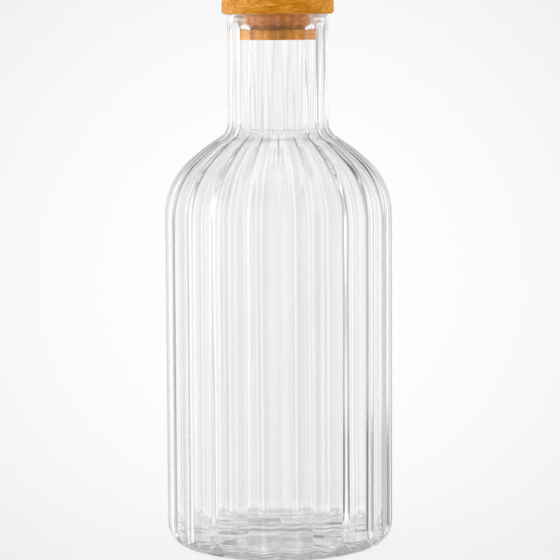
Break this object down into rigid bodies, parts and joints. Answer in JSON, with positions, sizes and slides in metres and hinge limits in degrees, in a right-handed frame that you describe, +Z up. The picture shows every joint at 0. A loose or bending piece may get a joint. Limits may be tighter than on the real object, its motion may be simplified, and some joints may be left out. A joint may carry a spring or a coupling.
{
  "type": "glass bottle with wooden cap",
  "caption": "Empty clear glass carafe bottle with vertical flutes from rim to base, closed by a turned wooden cap with a clear seal ring.",
  "frame": {"origin": "centre of the base, on the plane the bottle stands on", "axes": "+Z up along the bottle's axis to the cap; -Y is the front, where one crease between two flutes lies; +X to the right"},
  "size_m": [0.095, 0.0944, 0.2282],
  "materials": {
    "clear_glass": "polished, clear and colourless",
    "bamboo_wood": "satin oiled bamboo or beech",
    "clear_silicone": "clear, slightly milky silicone"
  },
  "bodies": {
    "root": {"glass_bottle": "clear_glass", "wooden_cap": "bamboo_wood", "seal_ring": "clear_silicone"}
  },
  "joints": []
}
